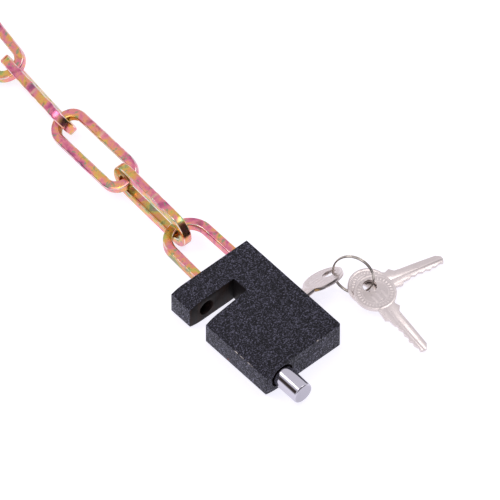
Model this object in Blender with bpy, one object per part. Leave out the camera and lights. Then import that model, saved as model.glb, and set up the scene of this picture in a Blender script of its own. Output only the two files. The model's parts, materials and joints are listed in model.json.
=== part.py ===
"""Chain lock: a block padlock with a captive chain, a sliding bolt and three keys on a split ring.

Frame: the origin is the centre of the lock body's underside, +X is the keyhole side, +Y the side that the
chain leaves from, and +Z up. The lock is open: its bolt is out, and a turned key stands in the cylinder.
Lengths below are in millimetres and angles in degrees; mesh data is written in metres.
"""

import math

import bmesh
import bpy
from mathutils import Matrix, Vector

MM = 0.001
GAP = 0.3                 # running gap round every piece that sits in another
OVER = 2.0                # how far a cutter starts or ends outside the piece it cuts

# lock body
BODY_X, BODY_Y, BODY_Z = 57.0, 81.0, 18.0
HALF_X, HALF_Y, MID_Z = BODY_X / 2, BODY_Y / 2, BODY_Z / 2
CROWN_START, CROWN_DROP = 9.0, 1.75      # top and underside fall away over this last stretch of the -X side
CORNER_R = 1.6                           # rounding of the upright corner between the +X and -Y sides
SLOT_END_X = 4.8                         # the slot runs from the -X side to here
SLOT_JAW_Y = 24.5                        # its wall on the jaw
SLOT_MAIN_Y, SLOT_MOUTH_Y = 13.5, 10.8   # its other wall, at the inner end and at the mouth

# bolt
BOLT_X = -16.0
BOLT_R, NOSE_R = 6.6, 4.8
BOLT_END_Y, SHOULDER_Y, NOSE_TIP_Y = -58.5, -11.0, 11.0
BOLT_TRAVEL = 18.5
BOLT_EDGE = 1.0                          # rounding of the bolt's free end
SHOULDER_EDGE, NOSE_EDGE = 0.5, 0.8      # cut corners of its shoulder and of its nose
COUNTERBORE_R, COUNTERBORE_DEPTH = 7.8, 2.0
BORE_SHOULDER_Y = 8.2                    # here the thick bore ends and the nose's bore goes on
JAW_HOLE_END_Y = 32.6
GROOVE_W, GROOVE_DEPTH = 3.8, 3.6        # groove under the bolt for the stop pin and the spring
GROOVE_Y = (-38.5, -13.0)
STOP_PIN_Y, STOP_PIN_R, STOP_PIN_TOP = -14.5, 1.25, 5.2
SPRING_R, SPRING_WIRE, SPRING_TURNS = 1.4, 0.25, 8

# cylinder, whose axis lies along X
CYL_Y = -4.7
TURN = 36.5                              # how far the plug is turned from where the key goes in and out
HOUSING_R, HOUSING_X = 7.3, (-3.0, 28.2)
TOWER_R, TOWER_HALF = 13.2, 3.0
PLUG_R, PLUG_X = 5.6, (-4.6, 27.4)
CLIP_X, CLIP_R, CLIP_GROOVE_R = (-3.95, -3.35), (5.15, 6.6), 4.9
CLIP_ARC, CLIP_STEPS = (40.0, 320.0), 20
CLIP_SIDE_GAP = 0.15
KEYWAY_W, KEYWAY_END_X = (-3.95, 4.75), -2.4
TONGUE_HALF = (3.0, 1.2)                 # half width and half thickness of the tailpiece
TAIL_X = (-10.9, -3.1)
TAIL_HOLE_R, TAIL_POCKET_DEPTH = 3.6, 4.0
PIN_X = [21.6 - 4.6 * i for i in range(5)]
PIN_R, PIN_TIP = 1.25, 0.35              # radius of a pin, and the cut corner of a key pin's tip
PIN_HOLE_R, PIN_HOLE_START, PIN_HOLE_DEPTH = 1.45, 2.0, 5.0
KEY_PIN_SPAN, DRIVER_SPAN, PIN_SPRING_SPAN = (3.98, 5.3), (5.9, 9.0), (9.25, 13.2)
PIN_SPRING_R, PIN_SPRING_WIRE, PIN_SPRING_TURNS = 1.0, 0.17, 4
COVER_SPAN, COVER_INSET, COVER_HALF = (13.5, 14.1), 3.0, 2.2
CYL_PIN_X, CYL_PIN_Y, CYL_PIN_R, CYL_PIN_TOP = 25.9, -15.0, 1.0, 7.6

# chain and captive link, of square wire with rounded corners
WIRE, WIRE_CORNER = 5.8, 0.85
LINK_L, LINK_W = 65.5, 24.0
LINK_REACH = (LINK_L - WIRE) / 2         # from a link's centre to the middle of its end wire
SPREAD_PITCH = 51.6                      # spacing of the loosely laid links at the chain's far end
CAPTIVE_Z = 9.8
CAPTIVE_LEGS_X = (-5.8, 20.8)
CAPTIVE_END = (8.2, 66.2, 12.7)          # centre x, centre y and radius of its round end
CAPTIVE_ARC = (176.5, 0.0)               # where that round end begins and ends
LEG_TOP_Y, LEG_END_Y = 41.0, 29.0        # the legs run straight inside the body, then lean to the round end
LEG_PIN_Y, LEG_PIN_R, LEG_PIN_TOP = 35.0, 1.25, 13.7
# x, y and z of the centre, yaw and roll of the four links nearest the lock
LAID_LINKS = [
    (8.4, 98.8, 12.25, 87.5, 86.0),
    (10.0, 150.8, 11.7, 88.5, -22.0),
    (12.9, 203.1, 11.6, 84.5, 62.0),
    (18.0, 254.8, 11.0, 80.5, -24.0),
]
# yaw and roll of the links after those: they curl round and settle on their corners
SPREAD_LINKS = [(66, 56), (49, -38), (32, 50), (15, -38), (-2, 62), (-19, -12)]
GROUND_GAP = 0.05
LAST_LINK_Z, LAST_LINK_PITCH = 7.9, -6.5  # the last link leans from its neighbour's wire down to the ground

# keys
BOW_R, KEY_HOLE_R, KEY_HOLE_U = 12.3, 4.1, -5.0
KEY_T = 2.2
NECK_ANGLES = (26.0, 331.0)              # the bow's circle runs between these angles
BACK_EDGE = [(12.6, 4.6), (15.6, 5.8), (18.2, 3.4), (29.7, 3.2), (44.6, 2.6), (47.5, 0.4)]
BITTING = [(47.6, -1.2), (46.7, -3.5), (44.4, -2.8), (41.3, -4.1), (39.5, -3.2), (37.6, -4.7), (35.2, -3.3),
           (32.9, -4.3), (30.4, -3.3), (27.7, -4.5), (25.9, -3.6), (24.1, -4.8), (19.8, -5.0), (18.5, -7.0)]
KEY_AXIS_OFF = 1.2                       # the key's middle line lies this far from the plug's axis
KEY_1_X = 47.5
KEY_2 = (65.6, -22.7, 4.0, -12.2, -2.9, 7.5)     # x, y, z of the bow's centre, yaw, pitch and roll
KEY_3 = (64.2, -29.4, 6.5, -93.9, -5.3, 0.0)

# split ring
RING_R, RING_WIRE_R, RING_TURN_PITCH = 12.2, 0.5, 1.12
RING_C = (60.05, -15.35, 13.2)
RING_AZ, RING_EL = 26.8, -15.6           # direction of the ring's own axis

STEEL = ("steel", (0.55, 0.55, 0.57, 1), 0.35, 1.0)
CHROME = ("chrome", (0.78, 0.77, 0.8, 1), 0.12, 1.0)
NICKEL = ("nickel", (0.68, 0.64, 0.63, 1), 0.3, 1.0)
BRASS = ("brass", (0.72, 0.53, 0.22, 1), 0.35, 1.0)
ZINC = ("yellow_zinc", (0.72, 0.5, 0.25, 1), 0.25, 1.0)
BLACK = ("black_coat", (0.03, 0.03, 0.04, 1), 0.6, 0.0)


def clear_scene():
    for obj in list(bpy.data.objects):
        bpy.data.objects.remove(obj, do_unlink=True)


def material(spec):
    name, colour, roughness, metallic = spec
    made = bpy.data.materials.get(name)
    if made is None:
        made = bpy.data.materials.new(name)
        made.use_nodes = True
        shader = made.node_tree.nodes["Principled BSDF"]
        shader.inputs["Base Color"].default_value = colour
        shader.inputs["Roughness"].default_value = roughness
        shader.inputs["Metallic"].default_value = metallic
    return made


def place(obj, spec, matrix):
    """Links an object, gives it its material and sets where it stands (matrix in millimetres)."""
    bpy.context.scene.collection.objects.link(obj)
    matrix = matrix.copy()
    matrix.translation = matrix.translation * MM
    obj.matrix_world = matrix
    if spec:
        obj.data.materials.append(material(spec))
    return obj


def mesh_object(name, bm, spec, matrix=None):
    """An object from a bmesh whose coordinates are millimetres."""
    bmesh.ops.recalc_face_normals(bm, faces=bm.faces)
    bmesh.ops.scale(bm, vec=(MM, MM, MM), verts=bm.verts)
    mesh = bpy.data.meshes.new(name)
    bm.to_mesh(mesh)
    bm.free()
    mesh.shade_smooth()
    mesh.set_sharp_from_angle(angle=math.radians(32))
    return place(bpy.data.objects.new(name, mesh), spec, matrix or Matrix())


def loft(rings, closed):
    """A bmesh skin over rings of points, with end caps unless the row of rings is closed."""
    bm = bmesh.new()
    rows = [[bm.verts.new(p) for p in ring] for ring in rings]
    count = len(rows[0])
    pairs = list(zip(rows, rows[1:]))
    if closed:
        pairs.append((rows[-1], rows[0]))
    for a, b in pairs:
        for i in range(count):
            j = (i + 1) % count
            bm.faces.new((a[i], a[j], b[j], b[i]))
    if not closed:
        bm.faces.new(rows[0])
        bm.faces.new(rows[-1])
    return bm


def prism(points, low, high):
    """A bmesh block with this outline in X and Y, from z low to z high."""
    return loft([[(x, y, z) for x, y in points] for z in (low, high)], closed=False)


def circle(radius, sides, z):
    step = 2 * math.pi / sides
    return [(radius * math.cos(i * step), radius * math.sin(i * step), z) for i in range(sides)]


def turned(profile, sides):
    """A bmesh of revolution about Z from (radius, z) pairs."""
    return loft([circle(radius, sides, z) for radius, z in profile], closed=False)


def along(axis, origin):
    """A matrix that carries local +Z to the axis and the local origin to the given point."""
    turn = Vector((0, 0, 1)).rotation_difference(Vector(axis)).to_matrix().to_4x4()
    return Matrix.Translation(origin) @ turn


def block(low, high):
    (x0, y0, z0), (x1, y1, z1) = low, high
    return prism([(x0, y0), (x1, y0), (x1, y1), (x0, y1)], z0, z1)


def cut(target, bm, matrix=None, operation="DIFFERENCE"):
    """Adds a Boolean to the target, whose hidden tool is the given bmesh."""
    tool = mesh_object(f"{target.name}_tool_{len(target.modifiers)}", bm, None, matrix)
    tool.hide_render = True
    tool.display_type = "WIRE"
    modifier = target.modifiers.new("cut", "BOOLEAN")
    modifier.operation = operation
    modifier.solver = "EXACT"
    modifier.object = tool


def drill(target, radius, base, axis, depth, sides=16):
    cut(target, turned([(radius, 0), (radius, depth)], sides), along(axis, base))


def rod(name, radius, base, axis, length, spec, sides=12):
    return mesh_object(name, turned([(radius, 0), (radius, length)], sides), spec, along(axis, base))


def coil(name, radius, wire, length, turns, steps, matrix, spec, sides_level=0):
    """A helix of round wire about Z, from z 0 to z length, as a curve with filled caps."""
    data = bpy.data.curves.new(name, "CURVE")
    data.dimensions = "3D"
    data.bevel_depth = wire * MM
    data.bevel_resolution = sides_level
    data.use_fill_caps = True
    count = round(turns * steps) + 1
    spline = data.splines.new("POLY")
    spline.points.add(count - 1)
    for i, point in enumerate(spline.points):
        angle = 2 * math.pi * i / steps
        z = wire + (length - 2 * wire) * i / (count - 1)
        point.co = (radius * math.cos(angle) * MM, radius * math.sin(angle) * MM, z * MM, 1)
    return place(bpy.data.objects.new(name, data), spec, matrix)


def wire_section():
    """The square wire's outline with cut corners, as (across, up) pairs."""
    h = WIRE / 2
    c = h - WIRE_CORNER
    return [(h, c), (c, h), (-c, h), (-h, c), (-h, -c), (-c, -h), (c, -h), (h, -c)]


def wire_loft(path, closed):
    """Square wire along a flat path of (x, y, direction angle); across points to the path's right."""
    rings = []
    for x, y, heading in path:
        side = (math.sin(heading), -math.cos(heading))
        rings.append([(x + side[0] * a, y + side[1] * a, up) for a, up in wire_section()])
    return loft(rings, closed)


def arc_path(cx, cy, radius, start, sweep, steps):
    """Points and headings along an arc, anticlockwise for a positive sweep, angles in radians."""
    path = []
    for i in range(steps + 1):
        angle = start + sweep * i / steps
        heading = angle + math.copysign(math.pi / 2, sweep)
        path.append((cx + radius * math.cos(angle), cy + radius * math.sin(angle), heading))
    return path


def posed(x, y, z, yaw, pitch, roll):
    """A place with local +X swung by yaw, lifted by pitch and turned about itself by roll."""
    turn = Matrix.Rotation(math.radians(yaw), 4, "Z") @ Matrix.Rotation(math.radians(-pitch), 4, "Y")
    return Matrix.Translation((x, y, z)) @ turn @ Matrix.Rotation(math.radians(roll), 4, "X")


def plug_frame(angle):
    """Local +X along the cylinder's axis and local +Y towards the back of the key, turned by angle."""
    return Matrix.Translation((0, CYL_Y, MID_Z)) @ Matrix.Rotation(math.radians(angle), 4, "X")


def body_profile():
    """The body's outline in X and Z, whose top and underside fall away towards the -X side."""
    crown = [(HALF_X - CROWN_START * (1 - s), CROWN_DROP * s * s) for s in (0.0, 0.35, 0.7, 1.0)]
    under = [(HALF_X, 0.0)] + [(-x, drop) for x, drop in crown]
    top = [(-x, BODY_Z - drop) for x, drop in reversed(crown)] + [(HALF_X, BODY_Z)]
    return under + top


def corner_cutter():
    """The upright sliver outside the rounded corner between the +X and -Y sides."""
    cx, cy = HALF_X - CORNER_R, -HALF_Y + CORNER_R
    angles = [math.radians(-15 * i) for i in range(7)]
    arc = [(cx + CORNER_R * math.cos(a), cy + CORNER_R * math.sin(a)) for a in angles]
    outside = [(cx, cy - CORNER_R - OVER), (HALF_X + OVER, -HALF_Y - OVER), (HALF_X + OVER, cy)]
    return prism(arc + outside, -OVER, BODY_Z + OVER)


def make_body():
    rings = [[(x, y, z) for x, z in body_profile()] for y in (-HALF_Y, HALF_Y)]
    body = mesh_object("lock_body", loft(rings, closed=False), BLACK)
    cut(body, corner_cutter())
    out = -HALF_X - OVER
    flare = (SLOT_MAIN_Y - SLOT_MOUTH_Y) / (HALF_X + SLOT_END_X)
    slot = [(SLOT_END_X, SLOT_MAIN_Y), (SLOT_END_X, SLOT_JAW_Y), (out, SLOT_JAW_Y),
            (out, SLOT_MAIN_Y - flare * (SLOT_END_X - out))]
    cut(body, prism(slot, -OVER, BODY_Z + OVER))
    cut_bolt_bores(body)
    cut_cylinder_pocket(body)
    cut_link_pockets(body)


def cut_bolt_bores(body):
    outside = -HALF_Y - OVER
    drill(body, BOLT_R + GAP, (BOLT_X, outside, MID_Z), (0, 1, 0), BORE_SHOULDER_Y - outside, 32)
    drill(body, COUNTERBORE_R, (BOLT_X, outside, MID_Z), (0, 1, 0), COUNTERBORE_DEPTH + OVER, 32)
    drill(body, NOSE_R + GAP, (BOLT_X, 0, MID_Z), (0, 1, 0), JAW_HOLE_END_Y, 32)
    drill(body, STOP_PIN_R + GAP, (BOLT_X, STOP_PIN_Y, -OVER), (0, 0, 1), MID_Z - BOLT_R + OVER)


def cut_cylinder_pocket(body):
    back = PLUG_X[0] - 2 * GAP
    reach = HALF_X + OVER - back
    drill(body, HOUSING_R + GAP, (back, CYL_Y, MID_Z), (1, 0, 0), reach, 32)
    tower = TOWER_HALF + GAP
    edge = CYL_Y - COVER_SPAN[1] - GAP
    cut(body, block((back, edge, MID_Z - tower), (back + reach, CYL_Y, MID_Z + tower)))
    drill(body, TAIL_HOLE_R, (BOLT_X + OVER, CYL_Y, MID_Z), (1, 0, 0), back - BOLT_X, 20)
    drill(body, CYL_PIN_R + GAP, (CYL_PIN_X, CYL_PIN_Y, -OVER), (0, 0, 1), MID_Z)


def cut_link_pockets(body):
    half = WIRE / 2 + GAP
    for x in CAPTIVE_LEGS_X:
        low = (x - half, LEG_END_Y - GAP, CAPTIVE_Z - half)
        cut(body, block(low, (x + half, HALF_Y + OVER, CAPTIVE_Z + half)))
        drill(body, LEG_PIN_R + GAP, (x, LEG_PIN_Y, -OVER), (0, 0, 1), LEG_PIN_TOP + OVER + GAP)


def make_bolt():
    length = NOSE_TIP_Y - BOLT_END_Y
    shoulder = SHOULDER_Y - BOLT_END_Y
    profile = [(BOLT_R - BOLT_EDGE, 0), (BOLT_R - BOLT_EDGE * 0.3, BOLT_EDGE * 0.3), (BOLT_R, BOLT_EDGE),
               (BOLT_R, shoulder - SHOULDER_EDGE), (BOLT_R - SHOULDER_EDGE, shoulder), (NOSE_R, shoulder),
               (NOSE_R, length - NOSE_EDGE), (NOSE_R - NOSE_EDGE, length)]
    bolt = mesh_object("bolt", turned(profile, 40), CHROME, along((0, 1, 0), (BOLT_X, BOLT_END_Y, MID_Z)))
    bottom = MID_Z - BOLT_R
    cut(bolt, block((BOLT_X - GROOVE_W / 2, GROOVE_Y[0], bottom - OVER),
                    (BOLT_X + GROOVE_W / 2, GROOVE_Y[1], bottom + GROOVE_DEPTH)))
    pocket_x, pocket_y = TAIL_X[0] - 2 * GAP, CYL_Y - BOLT_TRAVEL
    drill(bolt, TAIL_HOLE_R, (pocket_x, pocket_y, MID_Z), (1, 0, 0), TAIL_POCKET_DEPTH, 20)
    half = TONGUE_HALF[1] + GAP
    cut(bolt, block((pocket_x, pocket_y, MID_Z - half),
                    (pocket_x + TAIL_POCKET_DEPTH, SHOULDER_Y + OVER, MID_Z + half)))


def make_bolt_hardware():
    rod("bolt_stop_pin", STOP_PIN_R, (BOLT_X, STOP_PIN_Y, GAP), (0, 0, 1), STOP_PIN_TOP - GAP, STEEL)
    start, end = GROOVE_Y[0] + GAP, STOP_PIN_Y - STOP_PIN_R - GAP
    z = MID_Z - BOLT_R + GROOVE_DEPTH / 2
    coil("bolt_spring", SPRING_R, SPRING_WIRE, end - start, SPRING_TURNS, 12,
         along((0, 1, 0), (BOLT_X, start, z)), STEEL)


def make_housing():
    x0, x1 = HOUSING_X
    housing = mesh_object("cylinder_housing", turned([(HOUSING_R, 0), (HOUSING_R, x1 - x0)], 32), BRASS,
                          along((1, 0, 0), (x0, CYL_Y, MID_Z)))
    tower = block((x0, CYL_Y - TOWER_R, MID_Z - TOWER_HALF), (x1, CYL_Y - PLUG_R, MID_Z + TOWER_HALF))
    cut(housing, tower, operation="UNION")
    drill(housing, PLUG_R + GAP, (x0 - OVER, CYL_Y, MID_Z), (1, 0, 0), x1 - x0 + 2 * OVER, 32)
    for x in PIN_X:
        drill(housing, PIN_R + GAP, (x, CYL_Y, MID_Z), (0, -1, 0), TOWER_R + OVER)
    drill(housing, CYL_PIN_R + GAP, (CYL_PIN_X, CYL_PIN_Y, 0), (0, 0, 1), CYL_PIN_TOP + GAP)
    rod("cylinder_pin", CYL_PIN_R, (CYL_PIN_X, CYL_PIN_Y, GAP), (0, 0, 1), CYL_PIN_TOP - GAP, STEEL)
    near, far = COVER_SPAN
    cover = block((x0 + COVER_INSET, -far, -COVER_HALF), (x1 - COVER_INSET, -near, COVER_HALF))
    mesh_object("pin_cover", cover, BRASS, plug_frame(0))


def make_plug():
    x0, x1 = PLUG_X
    groove = (CLIP_X[0] - CLIP_SIDE_GAP, CLIP_X[1] + CLIP_SIDE_GAP)
    profile = [(PLUG_R, 0), (PLUG_R, groove[0] - x0), (CLIP_GROOVE_R, groove[0] - x0),
               (CLIP_GROOVE_R, groove[1] - x0), (PLUG_R, groove[1] - x0), (PLUG_R, x1 - x0)]
    plug = mesh_object("plug", turned(profile, 32), BRASS, along((1, 0, 0), (x0, CYL_Y, MID_Z)))
    half = KEY_T / 2 + GAP
    keyway = block((KEYWAY_END_X, KEYWAY_W[0], -half), (x1 + OVER, KEYWAY_W[1], half))
    cut(plug, keyway, plug_frame(-TURN))
    for x in PIN_X:
        matrix = plug_frame(-TURN) @ along((0, -1, 0), (x, -PIN_HOLE_START, 0))
        cut(plug, turned([(PIN_HOLE_R, 0), (PIN_HOLE_R, PIN_HOLE_DEPTH)], 12), matrix)
    wide, thick = TONGUE_HALF[0] + GAP, TONGUE_HALF[1] + GAP
    cut(plug, block((x0 - OVER, -wide, -thick), (TAIL_X[1] + GAP, wide, thick)), plug_frame(0))


def make_plug_hardware():
    wide, thick = TONGUE_HALF
    tongue = block((TAIL_X[0], -wide, -thick), (TAIL_X[1], wide, thick))
    mesh_object("tailpiece", tongue, STEEL, plug_frame(0))
    inner, outer = CLIP_R
    rings = []
    start, end = CLIP_ARC
    for i in range(CLIP_STEPS + 1):
        angle = math.radians(start + (end - start) * i / CLIP_STEPS)
        y, z = math.cos(angle), math.sin(angle)
        rings.append([(x, y * r, z * r) for x, r in
                      ((CLIP_X[0], inner), (CLIP_X[1], inner), (CLIP_X[1], outer), (CLIP_X[0], outer))])
    mesh_object("plug_clip", loft(rings, closed=False), STEEL, plug_frame(0))


def make_pins():
    """Five stacks: a key pin in the turned plug, and a driver pin and a spring in the tower."""
    for i, x in enumerate(PIN_X, start=1):
        in_plug = plug_frame(-TURN) @ along((0, -1, 0), (x, 0, 0))
        in_tower = plug_frame(0) @ along((0, -1, 0), (x, 0, 0))
        low, high = KEY_PIN_SPAN
        pointed = [(PIN_R - PIN_TIP, low), (PIN_R, low + PIN_TIP), (PIN_R, high)]
        mesh_object(f"key_pin_{i}", turned(pointed, 10), BRASS, in_plug)
        low, high = DRIVER_SPAN
        mesh_object(f"driver_pin_{i}", turned([(PIN_R, low), (PIN_R, high)], 10), STEEL, in_tower)
        low, high = PIN_SPRING_SPAN
        coil(f"pin_spring_{i}", PIN_SPRING_R, PIN_SPRING_WIRE, high - low, PIN_SPRING_TURNS, 8,
             in_tower @ Matrix.Translation((0, 0, low)), STEEL)


def make_captive_link():
    cx, cy, radius = CAPTIVE_END
    left, right = CAPTIVE_LEGS_X
    up = math.radians(90)
    path = [(left, LEG_END_Y, up), (left, LEG_TOP_Y, up)]
    start, end = map(math.radians, CAPTIVE_ARC)
    arc = arc_path(cx, cy, radius, start, end - start, 12)
    path += arc + [(right, LEG_TOP_Y, -up), (right, LEG_END_Y, -up)]
    raised = Matrix.Translation((0, 0, CAPTIVE_Z))
    link = mesh_object("captive_link", wire_loft(path, closed=False), ZINC, raised)
    for i, x in enumerate(CAPTIVE_LEGS_X, start=1):
        drill(link, LEG_PIN_R + GAP, (x, LEG_PIN_Y, 0), (0, 0, 1), BODY_Z, 12)
        rod(f"link_pin_{i}", LEG_PIN_R, (x, LEG_PIN_Y, GAP), (0, 0, 1), LEG_PIN_TOP - GAP, STEEL)


def link_mesh():
    """A long link in its own X and Y: near end wire centred on the origin, body along +X."""
    radius = (LINK_W - WIRE) / 2
    near, far = radius, 2 * LINK_REACH - radius
    path = arc_path(far, 0, radius, -math.pi / 2, math.pi, 8)
    path += arc_path(near, 0, radius, math.pi / 2, math.pi, 8)
    return wire_loft(path, closed=True)


def rest_height(roll):
    """How high a link's centre stands when the rolled link's lowest corner is on the ground."""
    down = (abs(math.sin(math.radians(roll))), abs(math.cos(math.radians(roll))))
    corner = max(a * down[0] + b * down[1] for a, b in wire_section())
    return (LINK_W - WIRE) / 2 * down[0] + corner


def chain_places():
    """(x, y, z, yaw, pitch, roll) of each link's centre, from the lock outwards."""
    places = [(x, y, z, yaw, 0, roll) for x, y, z, yaw, roll in LAID_LINKS]
    for yaw, roll in SPREAD_LINKS:
        x, y, _, last_yaw, _, _ = places[-1]
        for heading in (last_yaw, yaw):
            x += SPREAD_PITCH / 2 * math.cos(math.radians(heading))
            y += SPREAD_PITCH / 2 * math.sin(math.radians(heading))
        places.append((x, y, rest_height(roll) + GROUND_GAP, yaw, 0, roll))
    x, y, _, yaw, _, roll = places[-1]
    places[-1] = (x, y, LAST_LINK_Z, yaw, LAST_LINK_PITCH, roll)
    return places


def make_chain():
    for i, place_of_link in enumerate(chain_places(), start=1):
        matrix = posed(*place_of_link) @ Matrix.Translation((-LINK_REACH, 0, 0))
        mesh_object(f"chain_link_{i:02d}", link_mesh(), ZINC, matrix)


def key_object(name, matrix):
    """A flat key in its own X and Y: bow centred on the origin, blade along +X, bitting towards -Y."""
    data = bpy.data.curves.new(name, "CURVE")
    data.dimensions = "2D"
    data.fill_mode = "BOTH"
    data.extrude = KEY_T / 2 * MM
    start, end = NECK_ANGLES
    angles = [start + (end - start) * i / 24 for i in range(25)]
    bow = [(BOW_R * math.cos(math.radians(a)), BOW_R * math.sin(math.radians(a))) for a in angles]
    hole = [(KEY_HOLE_U + x, y) for x, y, _ in circle(KEY_HOLE_R, 16, 0)]
    outline = bow + BITTING[::-1] + BACK_EDGE[::-1]
    for points in (outline, hole):
        spline = data.splines.new("POLY")
        spline.points.add(len(points) - 1)
        spline.use_cyclic_u = True
        for point, (x, y) in zip(spline.points, points):
            point.co = (x * MM, y * MM, 0, 1)
    return place(bpy.data.objects.new(name, data), NICKEL, matrix)


def make_keys():
    in_plug = plug_frame(-TURN) @ Matrix.Translation((KEY_1_X, KEY_AXIS_OFF, 0))
    key_object("key_in_lock", in_plug @ Matrix.Rotation(math.pi, 4, "Y"))
    key_object("second_key", posed(*KEY_2))
    key_object("third_key", posed(*KEY_3))


def make_split_ring():
    azimuth, elevation = math.radians(RING_AZ), math.radians(RING_EL)
    flat = math.cos(elevation)
    axis = (flat * math.cos(azimuth), flat * math.sin(azimuth), math.sin(elevation))
    length = RING_TURN_PITCH * 2 + 2 * RING_WIRE_R
    matrix = along(axis, RING_C) @ Matrix.Translation((0, 0, -length / 2))
    coil("split_ring", RING_R, RING_WIRE_R, length, 2, 28, matrix, NICKEL, 1)


def main():
    clear_scene()
    make_body()
    make_bolt()
    make_bolt_hardware()
    make_housing()
    make_plug()
    make_plug_hardware()
    make_pins()
    make_captive_link()
    make_chain()
    make_keys()
    make_split_ring()


main()
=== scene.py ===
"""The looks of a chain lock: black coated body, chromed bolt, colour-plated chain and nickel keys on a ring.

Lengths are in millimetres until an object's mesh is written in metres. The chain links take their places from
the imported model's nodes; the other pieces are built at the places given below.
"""

import json
import math

import bmesh
import bpy
from mathutils import Matrix, Vector, noise


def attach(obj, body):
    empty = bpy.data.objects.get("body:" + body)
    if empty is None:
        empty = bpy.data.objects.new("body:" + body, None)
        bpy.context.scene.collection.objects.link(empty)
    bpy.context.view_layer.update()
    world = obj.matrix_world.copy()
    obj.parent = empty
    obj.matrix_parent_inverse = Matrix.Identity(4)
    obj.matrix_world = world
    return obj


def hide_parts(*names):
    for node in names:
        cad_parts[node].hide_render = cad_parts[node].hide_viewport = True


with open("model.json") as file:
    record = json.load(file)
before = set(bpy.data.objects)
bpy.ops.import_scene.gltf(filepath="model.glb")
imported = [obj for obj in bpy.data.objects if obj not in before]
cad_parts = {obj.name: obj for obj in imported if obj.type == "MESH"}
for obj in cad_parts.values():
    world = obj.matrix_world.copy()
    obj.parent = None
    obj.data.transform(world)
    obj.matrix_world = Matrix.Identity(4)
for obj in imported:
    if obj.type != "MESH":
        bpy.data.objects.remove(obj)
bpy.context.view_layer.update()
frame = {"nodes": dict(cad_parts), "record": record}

MM = 0.001
OVER = 2.0                               # how far cutters reach past a surface
GAP = 0.3                                # clearance round a pin, bolt or plug

# camera
VIEW_AZIMUTH, VIEW_ELEVATION = -41.4, 51.6
VIEW_TARGET = (34.75, 44.69, 0.0)
FRAME_WIDTH = 285.0
VIEW_DISTANCE = 9000.0
SENSOR = 36.0
CLIP = (0.1, 20)                         # in metres

# lock body
BODY_X, BODY_Y, BODY_Z = 57.0, 81.0, 18.0
HALF_X, HALF_Y, MID_Z = BODY_X / 2, BODY_Y / 2, BODY_Z / 2
CROWN_START, CROWN_DROP = 9.0, 1.75
CORNER_R, EDGE_R = 1.6, 0.35
SLOT_END_X, SLOT_JAW_Y, SLOT_MAIN_Y, SLOT_MOUTH_Y = 4.8, 24.5, 13.5, 10.8

# bolt
BOLT_X, BOLT_R, NOSE_R = -16.0, 6.6, 4.8
BOLT_END_Y, SHOULDER_Y, NOSE_TIP_Y, BOLT_TRAVEL = -58.5, -11.0, 11.0, 18.5
COUNTERBORE_R, COUNTERBORE_DEPTH = 7.8, 2.0
BORE_SHOULDER_Y, JAW_HOLE_END_Y = 8.2, 32.6
GROOVE_W, GROOVE_DEPTH, GROOVE_Y = 3.8, 3.6, (-38.5, -13.0)
STOP_PIN_Y, STOP_PIN_R = -14.5, 1.25
BOLT_END_R, BOLT_AXIS_R = 1.0, 0.05      # the end's rounding, and the tiny circle that closes it
SHOULDER_CHAMFER, NOSE_CHAMFER, POCKET_DEPTH = 0.5, 0.8, 4

# cylinder
CYL_Y, TURN = -4.7, 36.5
HOUSING_R, HOUSING_X, TOWER_R, TOWER_HALF = 7.3, (-3.0, 28.2), 13.2, 3.0
PLUG_R, PLUG_X = 5.6, (-4.6, 27.4)
CLIP_GROOVE_R, CLIP_GROOVE_X = 4.9, (-4.1, -3.2)
KEYWAY_W, KEYWAY_END_X = (-3.95, 4.75), -2.4
TONGUE_HALF, TAIL_X, TAIL_HOLE_R = (3.0, 1.2), (-10.9, -3.1), 3.6
PIN_X = [21.6 - 4.6 * i for i in range(5)]
PIN_HOLE_R = 1.55
CYL_PIN = (25.9, -15.0, 1.0)
COVER_EDGE = 14.4
CYL_CHAMFER, KEYWAY_HALF = 0.3, 1.4
PLUG_HOLE_R, PLUG_HOLE_START, PLUG_HOLE_DEPTH = 1.45, -2, 5

# captive link and chain
WIRE, WIRE_CORNER = 5.8, 1.0
WIRE_SHARE = 0.982                       # the worn surface lies just inside the plain solid's
WELD_REACH, WELD_RISE = 0.55, 0.055      # the weld's bead
UPSET_REACH, UPSET_RISE = 2.2, 0.02      # the thicker wire beside it
# the forged wire's unevenness: its scale along, across and up, its depth, and the step between two links
FORGED_SCALE, FORGED_DEPTH, SEED_STEP = (0.09, 0.09, 0.2), 0.06, 7.3
INNER_TONE, UPPER_TONE = 0.045, 0.02     # how the plating's colour shifts round the wire
LINK_COUNT, LINK_ARC_STEPS, LINK_SIDE_STEPS = 10, 28, 46
CAPTIVE_ARC_STEPS, CAPTIVE_SIDE_STEPS = 40, 12
CAPTIVE_SEED, NO_WELD = 20, (500, 0)     # the captive link shows no weld, so its seam lies far off its path
LINK_L, LINK_W = 65.5, 24.0
CAPTIVE_Z, CAPTIVE_LEGS_X, CAPTIVE_END, CAPTIVE_ARC = 9.8, (-5.8, 20.8), (8.2, 66.2, 12.7), (176.5, 0.0)
LEG_TOP_Y, LEG_END_Y, LEG_PIN_Y, LEG_PIN_R, LEG_PIN_TOP = 41.0, 29.0, 35.0, 1.25, 13.7

# keys
BOW_R, KEY_HOLE_R, KEY_HOLE_U, KEY_T = 12.3, 4.1, -5.0, 2.1
NECK_ANGLES = (26.0, 331.0)
BACK_EDGE = [(12.6, 4.6), (15.6, 5.8), (18.2, 3.4), (29.7, 3.2), (44.6, 2.6), (47.5, 0.4)]
BITTING = [(47.6, -1.2), (46.7, -3.5), (44.4, -2.8), (41.3, -4.1), (39.5, -3.2), (37.6, -4.7), (35.2, -3.3),
           (32.9, -4.3), (30.4, -3.3), (27.7, -4.5), (25.9, -3.6), (24.1, -4.8), (19.8, -5.0), (18.5, -7.0)]
KEY_AXIS_OFF, KEY_1_X = 1.2, 47.5
KEY_EDGE_R = 0.14
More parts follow.
